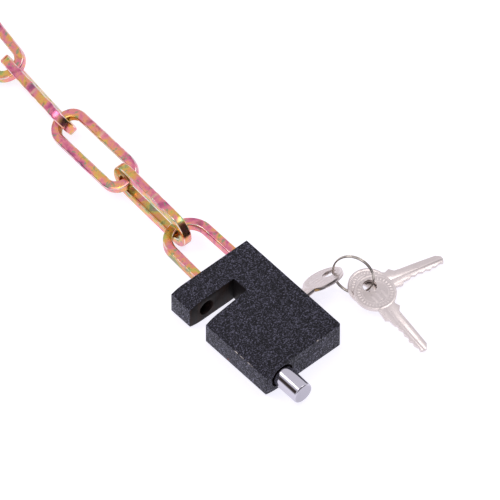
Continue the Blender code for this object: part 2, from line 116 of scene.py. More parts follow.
# the blade's V groove and milled back, then the bow's stamped rim, ring line, ribs and bars
GROOVE_FROM_X, MILLED_FROM_X, MILLED_Y, MILLED_DEPTH, PAST_TIP_X = 13.2, 20.5, (1.7, 8.0), 0.28, 60.0
RIM_R, RIM_HALF, RIM_RISE = 11.35, 0.5, 0.16
RING_LINE_R, RING_LINE_HALF, RING_LINE_RISE = 7.6, 0.3, 0.08
RIB_COUNT, RIB_START, RIB_LENGTH, RIB_RISE = 32, 8.2, 2.4, 0.13
BAR_Y, BAR_HALF, BAR_X, BAR_REACH, BAR_RISE = (-3.4, 0.0, 3.4), 0.85, (1.0, 6.4), 7.2, 0.12
PLATE_MARGIN_HOLE, PLATE_MARGIN_RIM, PLATE_LIFT, PLATE_SINK = 0.12, 0.2, 0.01, 0.2
DARKEN_BELOW = 0.09                        # stamped faces lower than this are darkened
# x, y, z, yaw, pitch and roll of the two free keys
KEY_2 = (65.6, -22.7, 4.0, -12.2, -2.9, 7.5)
KEY_3 = (64.2, -29.4, 6.5, -93.9, -5.3, 0.0)

# split ring
RING_R, RING_WIRE_R, RING_TURN_PITCH = 12.2, 0.5, 1.12
RING_C, RING_AZ, RING_EL = (60.05, -15.35, 13.2), 26.8, -15.6
RING_TURNS, RING_STEPS, RING_SIDES = 2, 120, 16

# room
FLOOR_HALF, FLOOR_DROP = 2500, 0.02
ROOM_COLOUR = (0.86, 0.845, 0.9)
# direction, where its edge starts and ends as a cosine, and colour of each dark flag
FLAGS = [((0.1, -0.9, 0.3), 0.55, 0.85, (0.05, 0.045, 0.05)),
         ((-0.86, 0.36, 0.36), 0.93, 0.985, (0.06, 0.045, 0.04))]


# ---------------------------------------------------------------- meshes

def put(obj, matrix=None):
    bpy.context.scene.collection.objects.link(obj)
    if matrix is not None:
        matrix = matrix.copy()
        matrix.translation = matrix.translation * MM
        obj.matrix_world = matrix
    return obj


def mesh_object(name, bm, matrix=None, smooth=35):
    """An object from a bmesh in millimetres, with edges sharper than the given angle kept sharp."""
    bmesh.ops.recalc_face_normals(bm, faces=bm.faces)
    bmesh.ops.scale(bm, vec=(MM, MM, MM), verts=bm.verts)
    mesh = bpy.data.meshes.new(name)
    bm.to_mesh(mesh)
    bm.free()
    mesh.shade_smooth()
    mesh.set_sharp_from_angle(angle=math.radians(smooth))
    return put(bpy.data.objects.new(name, mesh), matrix)


def point_values(mesh, label, values):
    """Gives each vertex a number for the materials to read."""
    mesh.attributes.new(label, "FLOAT", "POINT").data.foreach_set("value", values)


def loft(rings, closed=False):
    bm = bmesh.new()
    rows = [[bm.verts.new(p) for p in ring] for ring in rings]
    count = len(rows[0])
    pairs = list(zip(rows, rows[1:]))
    if closed:
        pairs.append((rows[-1], rows[0]))
    for a, b in pairs:
        for i in range(count):
            j = (i + 1) % count
            bm.faces.new((a[i], a[j], b[j], b[i]))
    if not closed:
        bm.faces.new(rows[0])
        bm.faces.new(rows[-1])
    return bm


def prism(points, low, high):
    return loft([[(x, y, z) for x, y in points] for z in (low, high)])


def block(low, high):
    (x0, y0, z0), (x1, y1, z1) = low, high
    return prism([(x0, y0), (x1, y0), (x1, y1), (x0, y1)], z0, z1)


def turned(profile, sides):
    step = 2 * math.pi / sides
    angles = [i * step for i in range(sides)]
    return loft([[(r * math.cos(a), r * math.sin(a), z) for a in angles] for r, z in profile])


def along(axis, origin):
    """A matrix that carries local +Z to the axis and the local origin to the given point."""
    turn = Vector((0, 0, 1)).rotation_difference(Vector(axis)).to_matrix().to_4x4()
    return Matrix.Translation(origin) @ turn


def cut(target, bm, matrix=None, operation="DIFFERENCE"):
    tool = mesh_object(f"{target.name}_tool", bm, matrix)
    modifier = target.modifiers.new("cut", "BOOLEAN")
    modifier.operation = operation
    modifier.solver = "EXACT"
    modifier.object = tool


def drill(target, radius, base, axis, depth, sides=64):
    cut(target, turned([(radius, 0), (radius, depth)], sides), along(axis, base))


def settle(obj, bevel=0.0, segments=3, angle=35):
    """Applies an object's modifiers, edge rounding last, puts its place into its mesh and drops its tools."""
    if bevel:
        modifier = obj.modifiers.new("edges", "BEVEL")
        modifier.width = bevel * MM
        modifier.segments = segments
        modifier.limit_method = "ANGLE"
        modifier.angle_limit = math.radians(angle)
        modifier.harden_normals = False
    tools = [m.object for m in obj.modifiers if m.type == "BOOLEAN"]
    bpy.context.view_layer.update()
    graph = bpy.context.evaluated_depsgraph_get()
    mesh = bpy.data.meshes.new_from_object(obj.evaluated_get(graph))
    mesh.transform(obj.matrix_world)
    obj.modifiers.clear()
    obj.data = mesh
    obj.matrix_world = Matrix.Identity(4)
    mesh.shade_smooth()
    mesh.set_sharp_from_angle(angle=math.radians(angle))
    for tool in tools:
        bpy.data.objects.remove(tool)
    return obj


def stand_for(obj, body, slot, *nodes):
    """The piece moves with a body and replaces plain nodes; its slot is not used."""
    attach(obj, body)
    if nodes:
        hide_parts(*nodes)
    return obj


def plug_frame(angle):
    """Local +X along the cylinder's axis and local +Y towards the back of the key, turned by angle."""
    return Matrix.Translation((0, CYL_Y, MID_Z)) @ Matrix.Rotation(math.radians(angle), 4, "X")


# ---------------------------------------------------------------- materials

class Nodes:
    """A small helper that adds and links shader nodes."""

    def __init__(self, name):
        self.material = bpy.data.materials.new(name)
        self.material.use_nodes = True
        self.tree = self.material.node_tree
        self.shader = self.tree.nodes["Principled BSDF"]
        self.place = self.tree.nodes.new("ShaderNodeTexCoord").outputs["Object"]

    def add(self, kind, inputs=(), **settings):
        node = self.tree.nodes.new("ShaderNode" + kind)
        for key, value in settings.items():
            setattr(node, key, value)
        for key, value in dict(inputs).items():
            if isinstance(value, bpy.types.NodeSocket):
                self.tree.links.new(value, node.inputs[key])
            else:
                node.inputs[key].default_value = value
        return node

    def noise(self, scale, detail=2.0, rough=0.5, distortion=0.0, vector=None):
        node = self.add("TexNoise", {"Vector": vector or self.place, "Scale": scale, "Detail": detail,
                                     "Roughness": rough, "Distortion": distortion})
        return node.outputs["Fac"]

    def math(self, operation, a, b=0.0, clamp=False):
        return self.add("Math", {0: a, 1: b}, operation=operation, use_clamp=clamp).outputs[0]

    def span(self, value, low, high, to_low=0.0, to_high=1.0):
        node = self.add("MapRange", {"Value": value, "From Min": low, "From Max": high,
                                     "To Min": to_low, "To Max": to_high})
        return node.outputs["Result"]

    def ramp(self, value, stops, interpolation="LINEAR"):
        node = self.add("ValToRGB", {"Fac": value})
        node.color_ramp.interpolation = interpolation
        elements = node.color_ramp.elements
        while len(elements) < len(stops):
            elements.new(0.5)
        for element, (position, colour) in zip(elements, stops):
            element.position = position
            element.color = (*colour, 1)
        return node.outputs["Color"]

    def mix(self, factor, a, b, blend="MIX"):
        node = self.add("Mix", data_type="RGBA", blend_type=blend)
        for key, value in ((0, factor), (6, a), (7, b)):
            if isinstance(value, bpy.types.NodeSocket):
                self.tree.links.new(value, node.inputs[key])
            elif key:
                node.inputs[key].default_value = (*value, 1)
            else:
                node.inputs[key].default_value = value
        return node.outputs[2]

    def stretched(self, scale, vector=None):
        """The object's coordinates stretched per axis, for a grain with a direction."""
        return self.add("VectorMath", {0: vector or self.place, 1: scale}, operation="MULTIPLY").outputs[0]

    def attribute(self, name):
        return self.add("Attribute", attribute_name=name).outputs["Fac"]

    def near(self, centre, radius, squash=(1, 1, 1)):
        """1 at a point of the object, falling to 0 at the radius; both in millimetres."""
        moved = self.add("VectorMath", {0: self.place, 1: [c * MM for c in centre]}, operation="SUBTRACT")
        scaled = self.add("VectorMath", {0: moved.outputs[0], 1: squash}, operation="MULTIPLY")
        length = self.add("VectorMath", {0: scaled.outputs[0]}, operation="LENGTH").outputs["Value"]
        return self.span(length, radius * MM, radius * MM * 0.45)

    def bump(self, height, distance, strength=1.0, under=None):
        inputs = {"Height": height, "Distance": distance * MM, "Strength": strength}
        if under is not None:
            inputs["Normal"] = under
        return self.add("Bump", inputs).outputs["Normal"]

    def finish(self, colour, roughness, metallic, normal=None, **sockets):
        for key, value in (("Base Color", colour), ("Roughness", roughness), ("Metallic", metallic),
                           ("Normal", normal)):
            if isinstance(value, bpy.types.NodeSocket):
                self.tree.links.new(value, self.shader.inputs[key])
            elif key == "Base Color":
                self.shader.inputs[key].default_value = (*value, 1)
            elif value is not None:
                self.shader.inputs[key].default_value = value
        for key, value in sockets.items():
            self.shader.inputs[key.replace("_", " ")].default_value = value
        return self.material


def black_coat():
    """Black textured powder coat of fine hard grains, with painted bluish glints on the grains' crests and a
    painted paler reflection on the side faces, bare where worn.
    """
    m = Nodes("black_coat")
    grain = m.noise(1250, 2.0, 0.6, 0.4)
    pebble = m.noise(2700, 1.0, 0.5)
    broad = m.noise(70, 2.0)
    # painted glints: the grains' crests are coloured pale bluish as if they caught the light
    grain_glints = m.span(m.math("ADD", m.math("MULTIPLY", grain, 0.7), m.math("MULTIPLY", pebble, 0.3)), 0.5, 0.66)
    base = m.mix(broad, (0.002, 0.002, 0.004), (0.005, 0.004, 0.008))
    # painted reflection: upright faces get a paler base and paler grain crests, standing for the floor they
    # reflect at a grazing angle
    facing = m.add("SeparateXYZ", {0: m.add("TexCoord").outputs["Normal"]}).outputs["Z"]
    side = m.math("SUBTRACT", 1.0, m.math("ABSOLUTE", facing), clamp=True)
    base = m.mix(m.math("MULTIPLY", side, 0.6), base, (0.016, 0.015, 0.022))
    base = m.mix(grain_glints, base, m.mix(side, (0.145, 0.14, 0.205), (0.24, 0.235, 0.33)))
    streak = m.noise(230, 3.0, 0.6)
    marks = m.near((-HALF_X, -15.2, 16.2), 1.6, (3.5, 0.9, 3.5))
    marks = m.math("MAXIMUM", marks, m.near((-HALF_X, -20.0, 16.2), 1.5, (5, 0.7, 5)))
    marks = m.math("MAXIMUM", marks, m.near((-HALF_X, -27.0, 16.2), 2.2, (4.2, 0.75, 4.2)))
    marks = m.math("MAXIMUM", marks, m.near((10.8, -HALF_Y, BODY_Z), 0.8, (0.7, 2, 2)))
    marks = m.math("MULTIPLY", marks, m.span(streak, 0.36, 0.5))
    rust = m.math("MULTIPLY", m.near((-HALF_X, -8.5, 3.2), 1.1), m.span(streak, 0.42, 0.56))
    base = m.mix(rust, base, (0.2, 0.055, 0.03))
    base = m.mix(marks, base, (0.62, 0.55, 0.5))
    rough = m.span(grain, 0.35, 0.65, 0.6, 0.38)
    height = m.math("ADD", grain, m.math("MULTIPLY", pebble, 0.3))
    normal = m.bump(height, 0.5, 1.0)
    return m.finish(base, rough, m.math("MULTIPLY", marks, 0.9), normal, Specular_IOR_Level=0.2)


def bore_wall():
    """The slot's and bores' walls: milled, thinly coated, brown-black."""
    m = Nodes("bore_wall")
    milled = m.noise(260, 4.0, 0.65, vector=m.stretched((1, 1, 0.12)))
    colour = m.ramp(milled, [
        (0.3, (0.003, 0.002, 0.003)),
        (0.5, (0.009, 0.006, 0.007)),
        (0.7, (0.042, 0.022, 0.017)),
    ])
    normal = m.bump(milled, 0.12, 0.6)
    return m.finish(colour, m.span(milled, 0.3, 0.7, 0.4, 0.6), 0.0, normal, Specular_IOR_Level=0.12)


def chrome():
    """Bright chrome with faint smears and turning scratches, with painted shade on the bolt's end face for
    the dim floor it reflects.
    """
    m = Nodes("chrome")
    smear = m.noise(45, 3.0, 0.5)
    scratch = m.noise(900, 2.0, 0.5, vector=m.stretched((1, 0.05, 1)))
    colour = m.mix(smear, (0.55, 0.53, 0.59), (0.63, 0.61, 0.67))
    facing = m.add("SeparateXYZ", {0: m.add("TexCoord").outputs["Normal"]}).outputs["Y"]
    # painted shade: faces looking along -Y, the bolt's end face, are darkened to stand for the dim floor they
    # reflect
    colour = m.mix(m.span(facing, -0.9, -0.99), colour, (0.78, 0.78, 0.785), "MULTIPLY")
    rough = m.math("ADD", m.span(smear, 0.3, 0.7, 0.05, 0.12), m.math("MULTIPLY", scratch, 0.04))
    return m.finish(colour, rough, 1.0, m.bump(scratch, 0.012, 0.25))


def colour_plating():
    """Iridescent yellow passivation: patches of magenta, salmon, gold and green, pale along the wire's
    corners as worn plating and painted highlight, with painted shade on the links' inner faces.
    """
    m = Nodes("yellow_zinc")
    drift = m.noise(34, 2.5, 0.55, 1.6)
    patch = m.noise(105, 3.5, 0.6, 1.0)
    grain = m.noise(820, 2.0, 0.5)
    value = m.math("ADD", m.math("MULTIPLY", drift, 0.55), m.math("MULTIPLY", patch, 0.6))
    value = m.math("SUBTRACT", value, 0.055)
    value = m.math("ADD", m.math("ADD", value, m.attribute("tone")),
                   m.math("MULTIPLY", m.math("SUBTRACT", grain, 0.5), 0.07))
    colour = m.ramp(value, [
        (0.30, (0.32, 0.11, 0.20)),
        (0.38, (0.62, 0.14, 0.26)),
        (0.45, (0.76, 0.24, 0.31)),
        (0.50, (0.82, 0.32, 0.24)),
        (0.54, (0.80, 0.38, 0.14)),
        (0.58, (0.74, 0.48, 0.12)),
        (0.62, (0.50, 0.50, 0.14)),
        (0.66, (0.22, 0.33, 0.17)),
        (0.74, (0.50, 0.30, 0.30)),
    ])
    fleck = m.span(m.noise(330, 2.0, 0.5, 0.5), 0.60, 0.66)
    colour = m.mix(m.math("MULTIPLY", fleck, 0.75), colour, (0.22, 0.36, 0.20))
    stain = m.span(m.noise(230, 3.0, 0.6, 0.6), 0.60, 0.68)
    colour = m.mix(m.math("MULTIPLY", stain, 0.5), colour, (0.30, 0.12, 0.09))
    # painted shade: the wire's inner face, facing into the link, is darkened towards brown
    colour = m.mix(m.math("MULTIPLY", m.attribute("inner"), 0.25), colour, (0.30, 0.13, 0.05))
    # worn plating and painted highlight: the wire's corners are paled in patches, partly wear and partly a
    # painted edge highlight
    wear_and_highlight = m.math("MULTIPLY", m.attribute("edge"), m.span(m.noise(210, 2.0, 0.5), 0.36, 0.52))
    colour = m.mix(m.math("MULTIPLY", wear_and_highlight, 0.75), colour, (0.95, 0.88, 0.80))
    colour = m.mix(m.math("MULTIPLY", m.attribute("weld"), 0.6), colour, (0.85, 0.80, 0.42))
    rough = m.span(m.noise(300, 3.0, 0.6), 0.3, 0.7, 0.12, 0.27)
    drawn = m.noise(160, 3.0, 0.6, 0.4)
    normal = m.bump(drawn, 0.1, 0.35)
    normal = m.bump(grain, 0.02, 0.4, normal)
    return m.finish(colour, rough, 1.0, normal)


def nickel(name, colour_low, colour_high, rough_low, rough_high, relief, recess_darkening):
    """Nickel with a fine tumbled grain and a few handling marks, darkened where the 'recess' value is high:
    the low parts of the key's stamped face, and painted shade between the ring's turns.
    """
    m = Nodes(name)
    cloud = m.noise(110, 3.0, 0.55)
    grain = m.noise(1400, 2.0, 0.6)
    marks = m.noise(420, 4.0, 0.7, vector=m.stretched((0.35, 1.0, 1.0)))
    colour = m.mix(cloud, colour_low, colour_high)
    colour = m.mix(m.span(marks, 0.62, 0.75), colour, [c * 0.72 for c in colour_low])
    colour = m.mix(m.math("MULTIPLY", m.attribute("recess"), recess_darkening), colour, [c * 0.4 for c in colour_low])
    rough = m.span(marks, 0.3, 0.7, rough_low, rough_high)
    normal = m.bump(m.math("ADD", grain, marks), relief, 0.5)
    return m.finish(colour, rough, 1.0, normal)


def turned_brass():
    """Brass with turning marks along the cylinder's axis and patches of tarnish."""
    m = Nodes("brass")
    rings = m.noise(500, 3.0, 0.6, vector=m.stretched((1.4, 0.15, 0.15)))
    tarnish = m.noise(90, 3.0, 0.6)
    colour = m.ramp(tarnish, [
        (0.35, (0.5, 0.33, 0.12)),
        (0.5, (0.72, 0.52, 0.22)),
        (0.7, (0.82, 0.64, 0.32)),
    ])
    return m.finish(colour, m.span(rings, 0.3, 0.7, 0.22, 0.42), 1.0, m.bump(rings, 0.03, 0.5))


def bright_steel():
    """Drawn steel with fine lines and a thin film of oil, for the small pieces inside."""
    m = Nodes("steel")
    lines = m.noise(700, 2.0, 0.6, vector=m.stretched((0.3, 0.3, 1.6)))
    oil = m.noise(120, 2.0, 0.5)
    colour = m.mix(oil, (0.42, 0.42, 0.44), (0.62, 0.62, 0.64))
    return m.finish(colour, m.span(lines, 0.3, 0.7, 0.25, 0.45), 1.0, m.bump(lines, 0.02, 0.4))


# ---------------------------------------------------------------- lock body and cylinder

def body_profile(steps=14):
    curve = [i / steps for i in range(steps + 1)]
    crown = [(HALF_X - CROWN_START * (1 - s), CROWN_DROP * s * s) for s in curve]
    under = [(HALF_X, 0.0)] + [(-x, drop) for x, drop in crown]
    top = [(-x, BODY_Z - drop) for x, drop in reversed(crown)] + [(HALF_X, BODY_Z)]
    return under + top


def corner_cutter():
    cx, cy = HALF_X - CORNER_R, -HALF_Y + CORNER_R
    angles = [math.radians(-7.5 * i) for i in range(13)]
    arc = [(cx + CORNER_R * math.cos(a), cy + CORNER_R * math.sin(a)) for a in angles]
    outside = [(cx, cy - CORNER_R - OVER), (HALF_X + OVER, -HALF_Y - OVER), (HALF_X + OVER, cy)]
    return prism(arc + outside, -OVER, BODY_Z + OVER)


def make_body(coat, wall):
    rings = [[(x, y, z) for x, z in body_profile()] for y in (-HALF_Y, HALF_Y)]
    body = mesh_object("body_shell", loft(rings))
    body.data.materials.append(coat)
    cut(body, corner_cutter())
    out = -HALF_X - OVER
    flare = (SLOT_MAIN_Y - SLOT_MOUTH_Y) / (HALF_X + SLOT_END_X)
    slot = [(SLOT_END_X, SLOT_MAIN_Y), (SLOT_END_X, SLOT_JAW_Y), (out, SLOT_JAW_Y),
            (out, SLOT_MAIN_Y - flare * (SLOT_END_X - out))]
    cut(body, prism(slot, -OVER, BODY_Z + OVER))
    outside = -HALF_Y - OVER
    drill(body, BOLT_R + GAP, (BOLT_X, outside, MID_Z), (0, 1, 0), BORE_SHOULDER_Y - outside)
    drill(body, COUNTERBORE_R, (BOLT_X, outside, MID_Z), (0, 1, 0), COUNTERBORE_DEPTH + OVER)
    drill(body, NOSE_R + GAP, (BOLT_X, 0, MID_Z), (0, 1, 0), JAW_HOLE_END_Y)
    drill(body, STOP_PIN_R + GAP, (BOLT_X, STOP_PIN_Y, -OVER), (0, 0, 1), MID_Z - BOLT_R + OVER, 32)
    back = PLUG_X[0] - 2 * GAP
    reach = HALF_X + OVER - back
    drill(body, HOUSING_R + GAP, (back, CYL_Y, MID_Z), (1, 0, 0), reach)
    tower = TOWER_HALF + GAP
    cut(body, block((back, CYL_Y - COVER_EDGE, MID_Z - tower), (back + reach, CYL_Y, MID_Z + tower)))
    drill(body, TAIL_HOLE_R, (BOLT_X + OVER, CYL_Y, MID_Z), (1, 0, 0), back - BOLT_X, 32)
    drill(body, CYL_PIN[2] + GAP, (CYL_PIN[0], CYL_PIN[1], -OVER), (0, 0, 1), MID_Z, 32)
    half = WIRE / 2 + GAP
    for x in CAPTIVE_LEGS_X:
        low = (x - half, LEG_END_Y - GAP, CAPTIVE_Z - half)
        cut(body, block(low, (x + half, HALF_Y + OVER, CAPTIVE_Z + half)))
        drill(body, LEG_PIN_R + GAP, (x, LEG_PIN_Y, -OVER), (0, 0, 1), LEG_PIN_TOP + OVER + GAP, 32)
    settle(body, EDGE_R, 3, 38)
    body.data.materials.append(wall)
    mark_inner_walls(body.data)
    return stand_for(body, "lock", "black_coat", "lock_body")


def mark_inner_walls(mesh):
    """Gives the second material to every face that isn't on the body's outside."""
    margin = EDGE_R * 0.7
    for face in mesh.polygons:
        x, y, z = (c / MM for c in face.center)
        crown = max(0.0, (-x - HALF_X + CROWN_START) / CROWN_START)
        depth = min(HALF_X - abs(x), HALF_Y - abs(y), z - CROWN_DROP * crown ** 2,
                    BODY_Z - CROWN_DROP * crown ** 2 - z)
        corner = math.hypot(max(0, x - HALF_X + CORNER_R), max(0, -y - HALF_Y + CORNER_R))
        if depth > margin and CORNER_R - corner > margin:
            face.material_index = 1


def make_bolt(finish):
    length, shoulder, edge = NOSE_TIP_Y - BOLT_END_Y, SHOULDER_Y - BOLT_END_Y, BOLT_END_R
    round_end = [(BOLT_R - edge + edge * math.sin(a), edge - edge * math.cos(a))
                 for a in (math.radians(15 * i) for i in range(7))]
    profile = [(BOLT_AXIS_R, 0.0)] + round_end
    profile += [(BOLT_R, shoulder - SHOULDER_CHAMFER), (BOLT_R - SHOULDER_CHAMFER, shoulder)]
    profile += [(NOSE_R, shoulder), (NOSE_R, length - NOSE_CHAMFER), (NOSE_R - NOSE_CHAMFER, length)]
    bolt = mesh_object("bolt_chromed", turned(profile, 96), along((0, 1, 0), (BOLT_X, BOLT_END_Y, MID_Z)), 30)
    bolt.data.materials.append(finish)
    bottom = MID_Z - BOLT_R
    cut(bolt, block((BOLT_X - GROOVE_W / 2, GROOVE_Y[0], bottom - OVER),
                    (BOLT_X + GROOVE_W / 2, GROOVE_Y[1], bottom + GROOVE_DEPTH)))
    pocket_x, pocket_y = TAIL_X[0] - 2 * GAP, CYL_Y - BOLT_TRAVEL
    drill(bolt, TAIL_HOLE_R, (pocket_x, pocket_y, MID_Z), (1, 0, 0), POCKET_DEPTH, 32)
    half = TONGUE_HALF[1] + GAP
    end = (pocket_x + POCKET_DEPTH, SHOULDER_Y + OVER, MID_Z + half)
    cut(bolt, block((pocket_x, pocket_y, MID_Z - half), end))
    settle(bolt, angle=28)
    return stand_for(bolt, "bolt", "chrome", "bolt")


def make_cylinder(brass):
    x0, x1 = HOUSING_X
    edge = CYL_CHAMFER
    profile = [(HOUSING_R, 0), (HOUSING_R, x1 - x0 - edge), (HOUSING_R - edge, x1 - x0)]
    housing = mesh_object("housing_turned", turned(profile, 96), along((1, 0, 0), (x0, CYL_Y, MID_Z)))
    tower = block((x0, CYL_Y - TOWER_R, MID_Z - TOWER_HALF), (x1, CYL_Y - PLUG_R, MID_Z + TOWER_HALF))
    cut(housing, tower, operation="UNION")
    drill(housing, PLUG_R + GAP, (x0 - OVER, CYL_Y, MID_Z), (1, 0, 0), x1 - x0 + 2 * OVER)
    for x in PIN_X:
        drill(housing, PIN_HOLE_R, (x, CYL_Y, MID_Z), (0, -1, 0), TOWER_R + OVER, 24)
    drill(housing, CYL_PIN[2] + GAP, (CYL_PIN[0], CYL_PIN[1], 0), (0, 0, 1), MID_Z, 24)
    p0, p1 = PLUG_X
    profile = [(PLUG_R, 0), (PLUG_R, CLIP_GROOVE_X[0] - p0), (CLIP_GROOVE_R, CLIP_GROOVE_X[0] - p0),
               (CLIP_GROOVE_R, CLIP_GROOVE_X[1] - p0), (PLUG_R, CLIP_GROOVE_X[1] - p0),
               (PLUG_R, p1 - p0 - edge), (PLUG_R - edge, p1 - p0)]
    plug = mesh_object("plug_turned", turned(profile, 96), along((1, 0, 0), (p0, CYL_Y, MID_Z)))
    keyway = block((KEYWAY_END_X, KEYWAY_W[0], -KEYWAY_HALF), (p1 + OVER, KEYWAY_W[1], KEYWAY_HALF))
    cut(plug, keyway, plug_frame(-TURN))
    for x in PIN_X:
        matrix = plug_frame(-TURN) @ along((0, -1, 0), (x, PLUG_HOLE_START, 0))
        cut(plug, turned([(PLUG_HOLE_R, 0), (PLUG_HOLE_R, PLUG_HOLE_DEPTH)], 24), matrix)
    wide, thick = TONGUE_HALF[0] + GAP, TONGUE_HALF[1] + GAP
    cut(plug, block((p0 - OVER, -wide, -thick), (TAIL_X[1] + GAP, wide, thick)), plug_frame(0))
    for piece, body, node in ((housing, "lock", "cylinder_housing"), (plug, "plug", "plug")):
        piece.data.materials.append(brass)
        settle(piece)
        stand_for(piece, body, "brass", node)


# ---------------------------------------------------------------- chain

def wire_outline(corner=WIRE_CORNER, steps=5):
    """The square wire's rounded outline as (across, up) pairs."""
    h = WIRE / 2
    points = []
    for quarter in range(4):
        start = quarter * 90
        cx = (h - corner) * (1 if quarter in (0, 3) else -1)
        cy = (h - corner) * (1 if quarter in (0, 1) else -1)
        for i in range(steps + 1):
            a = math.radians(start + 90 * i / steps)
            points.append((cx + corner * math.cos(a), cy + corner * math.sin(a)))
    return points


def arc_path(cx, cy, radius, start, sweep, steps):
    path = []
    for i in range(steps + 1):
        angle = start + sweep * i / steps
        heading = angle + math.copysign(math.pi / 2, sweep)
        path.append((cx + radius * math.cos(angle), cy + radius * math.sin(angle), heading))
    return path


def straight(a, b, heading, count):
    """Points between two ends, without the ends themselves."""
    (ax, ay), (bx, by) = a, b
    return [(ax + (bx - ax) * i / count, ay + (by - ay) * i / count, heading) for i in range(1, count)]


def swept_wire(name, path, closed, seed, weld_at, bias, matrix):
    """Square wire along a flat path, slightly uneven as forged, with a weld seam at one point of the path."""
    outline = wire_outline()
    # these corner points carry the 'edge' value that pales the plating as wear and painted highlight
    worn_and_highlit_corners = [i % 6 in (2, 3) for i in range(len(outline))]      # the middle two of a corner's six points
    along_scale, across_scale, up_scale = FORGED_SCALE
    rings, tones, welds, inner_shade, edges = [], [], [], [], []
    for x, y, heading in path:
        side = (math.sin(heading), -math.cos(heading))
        away = math.hypot(x - weld_at[0], y - weld_at[1])
        seam = math.exp(-(away / WELD_REACH) ** 2)
        swell = WIRE_SHARE + WELD_RISE * seam + UPSET_RISE * math.exp(-(away / UPSET_REACH) ** 2)
        ring = []
        for corner, (across, up) in zip(worn_and_highlit_corners, outline):
            place = Vector((x * along_scale + seed * SEED_STEP, y * across_scale, up * up_scale))
            uneven = (noise.noise(place) - 1) * FORGED_DEPTH
            grow = swell + uneven / WIRE
            ring.append((x + side[0] * across * grow, y + side[1] * across * grow, up * grow))
            inner = -across / (WIRE / 2)
            tones.append(bias + INNER_TONE * inner - UPPER_TONE * up / (WIRE / 2))
            welds.append(seam)
            # the 'inner' value is 1 on the wire's inner face, where the plating gets painted shade
            inner_shade.append(float(inner > 0.99))
            edges.append(float(corner))
        rings.append(ring)
    link = mesh_object(name, loft(rings, closed), matrix, 50)
    mesh = link.data
    for label, values in (("tone", tones), ("weld", welds), ("inner", inner_shade), ("edge", edges)):
        point_values(mesh, label, values)
    return link


def link_matrix(node):
    """Where a link's solid lies: its centre, with +X along it, +Y across it and +Z along its thickness."""
    mesh = frame["nodes"][node].data
    points = [v.co.copy() for v in mesh.vertices]
    low = Vector([min(p[i] for p in points) for i in range(3)])
    high = Vector([max(p[i] for p in points) for i in range(3)])
    centre = (low + high) / 2
    by_normal = {}
    for face in mesh.polygons:
        normal = face.normal
        if normal.dot(Vector((1, 2, 3))) < 0:
            normal = -normal
        key = tuple(round(c, 1) for c in normal)
        total, area = by_normal.get(key, (Vector(), 0.0))
        by_normal[key] = (total + normal * face.area, area + face.area)
    groups = sorted(by_normal.values(), key=lambda g: -g[1])
    up = groups[0][0].normalized()
    across = next(g[0].normalized() for g in groups[1:] if abs(g[0].normalized().dot(up)) < 0.1)
    across = (across - up * across.dot(up)).normalized()
    onward = across.cross(up).normalized()
    turn = Matrix((onward, across, up)).transposed().to_4x4()
    return Matrix.Translation(centre / MM) @ turn


def make_chain(plating):
    radius = (LINK_W - WIRE) / 2
    end = (LINK_L - WIRE) / 2 - radius
    for i in range(1, LINK_COUNT + 1):
        node = f"chain_link_{i:02d}"
        path = arc_path(end, 0, radius, -math.pi / 2, math.pi, LINK_ARC_STEPS)
        path += straight((end, radius), (-end, radius), math.pi, LINK_SIDE_STEPS)
        path += arc_path(-end, 0, radius, math.pi / 2, math.pi, LINK_ARC_STEPS)
        path += straight((-end, -radius), (end, -radius), 0.0, LINK_SIDE_STEPS)
        weld_at = (-0.15 * end, radius)
        bias = 0.03 * math.sin(i * 2.3) - 0.005
        link = swept_wire(f"link_{i:02d}_plated", path, True, i, weld_at, bias, link_matrix(node))
        link.data.materials.append(plating)
        settle(link, angle=50)
        stand_for(link, f"link_{i:02d}", "yellow_zinc", node)


def make_captive(plating):
    cx, cy, radius = CAPTIVE_END
    left, right = CAPTIVE_LEGS_X
    up = math.pi / 2
    start, end = map(math.radians, CAPTIVE_ARC)
    arc = arc_path(cx, cy, radius, start, end - start, CAPTIVE_ARC_STEPS)
    path = [(left, LEG_END_Y, up), (left, LEG_TOP_Y - 1, up), (left, LEG_TOP_Y, up)]
    path += straight((left, LEG_TOP_Y), arc[0][:2], arc[0][2], CAPTIVE_SIDE_STEPS) + arc
    path += straight(arc[-1][:2], (right, LEG_TOP_Y), arc[-1][2], CAPTIVE_SIDE_STEPS)
    path += [(right, LEG_TOP_Y, -up), (right, LEG_TOP_Y - 1, -up), (right, LEG_END_Y, -up)]
    raised = Matrix.Translation((0, 0, CAPTIVE_Z))
    link = swept_wire("captive_link_plated", path, False, CAPTIVE_SEED, NO_WELD, -0.005, raised)
    link.data.materials.append(plating)
    for x in CAPTIVE_LEGS_X:
        drill(link, LEG_PIN_R + GAP, (x, LEG_PIN_Y, 0), (0, 0, 1), BODY_Z, 24)
    settle(link, angle=50)
    return stand_for(link, "lock", "yellow_zinc", "captive_link")


# ---------------------------------------------------------------- keys and ring

def key_relief(x, y):
    """Height of the bow's stamped face over its plain plate: a rim, a ribbed band and three plain bars."""
    r, a = math.hypot(x, y), math.atan2(y, x)
    height = RIM_RISE * math.exp(-((r - RIM_R) / RIM_HALF) ** 4)
    height += RING_LINE_RISE * math.exp(-((r - RING_LINE_R) / RING_LINE_HALF) ** 2)
    if 0 < r - RIB_START < RIB_LENGTH:
        rib = max(0.0, math.cos(RIB_COUNT * a))
        height += RIB_RISE * rib * math.sin(math.pi * (r - RIB_START) / RIB_LENGTH)
    for offset in BAR_Y:
        if abs(y - offset) < BAR_HALF and BAR_X[0] < x < BAR_X[1] and r < BAR_REACH:
            height += BAR_RISE * math.cos((y - offset) / BAR_HALF * math.pi / 2)
    return height


